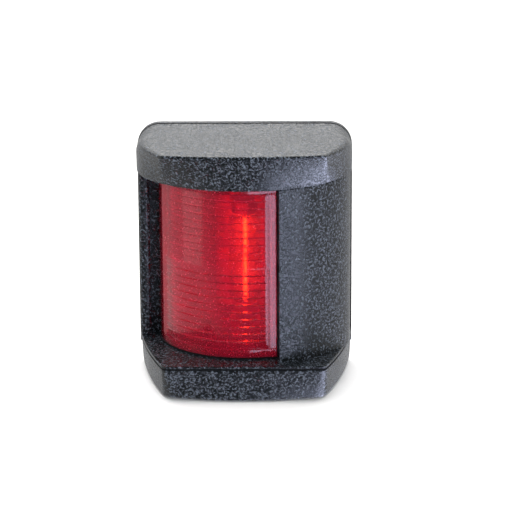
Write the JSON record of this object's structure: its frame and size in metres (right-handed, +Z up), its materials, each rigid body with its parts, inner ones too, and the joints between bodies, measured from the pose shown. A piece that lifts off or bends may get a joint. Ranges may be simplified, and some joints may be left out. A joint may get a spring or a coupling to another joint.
{
  "type": "navigation light",
  "caption": "Boat side light for a vertical face: red window on the left and front, black lift-off hood, festoon bulb, screwed base with cable entry.",
  "frame": {"origin": "centre of the wall face, midway between the two mounting holes", "axes": "+X to the right seen from outside, -Y away from the wall, +Z up"},
  "size_m": [0.0648, 0.0432, 0.0759],
  "materials": {
    "black_abs": "fine moulded grain",
    "foam_rubber": "closed-cell foam",
    "seal_rubber": "smooth matt rubber",
    "heat_shield_aluminium": "rolled sheet",
    "contact_brass": "stamped strip",
    "rivet_brass": "turned",
    "red_lens": "clear red moulding with fine level ribs",
    "clear_glass": "clear tube",
    "nickel_cap": "nickel plate",
    "filament_wire": "wound tungsten",
    "lead_wire": "drawn wire",
    "stainless": "turned stainless steel"
  },
  "bodies": {
    "mounting_base": {"base_housing": "black_abs", "wall_gasket": "foam_rubber", "hood_seal": "seal_rubber", "heat_shield": "heat_shield_aluminium", "heat_shield_rivets": "rivet_brass", "upper_contact": "contact_brass", "lower_contact": "contact_brass", "contact_rivets": "rivet_brass", "terminal_screws": "rivet_brass", "terminal_washers": "contact_brass", "cable_grommet": "seal_rubber"},
    "hood": {"shield": "black_abs", "top_cap": "black_abs", "lens": "red_lens", "lens_seal_lower": "seal_rubber", "lens_seal_upper": "seal_rubber", "lens_lock_strip": "black_abs", "cap_screws": "stainless", "threaded_insert": "contact_brass"},
    "bulb": {"bulb_glass": "clear_glass", "bulb_upper_cap": "nickel_cap", "bulb_lower_cap": "nickel_cap", "filament": "filament_wire", "filament_leads": "lead_wire", "filament_support": "lead_wire"},
    "screw_ring": {"cover_screw_washer": "stainless", "cover_screw_o_ring": "seal_rubber"},
    "cover_screw": {"cover_screw": "stainless"}
  },
  "joints": [
    {"name": "hood_lift", "type": "slide", "parent": "mounting_base", "child": "hood", "axis": [0, 0, 1], "range_m": [0, 0.09]},
    {"name": "bulb_pull", "type": "slide", "parent": "mounting_base", "child": "bulb", "axis": [0, -1, 0], "range_m": [0, 0.014]},
    {"name": "cover_screw_travel", "type": "slide", "parent": "mounting_base", "child": "screw_ring", "axis": [0, 0, -1], "range_m": [0, 0.0055]},
    {"name": "cover_screw_turn", "type": "hinge", "parent": "screw_ring", "child": "cover_screw", "pos_m": [0, -0.027, -0.0341], "axis": [0, 0, -1], "range_deg": [0, 3965]}
  ],
  "couplings": [
    {"joint": "cover_screw_turn", "follows": "cover_screw_travel", "rad_per_m": 12566}
  ]
}
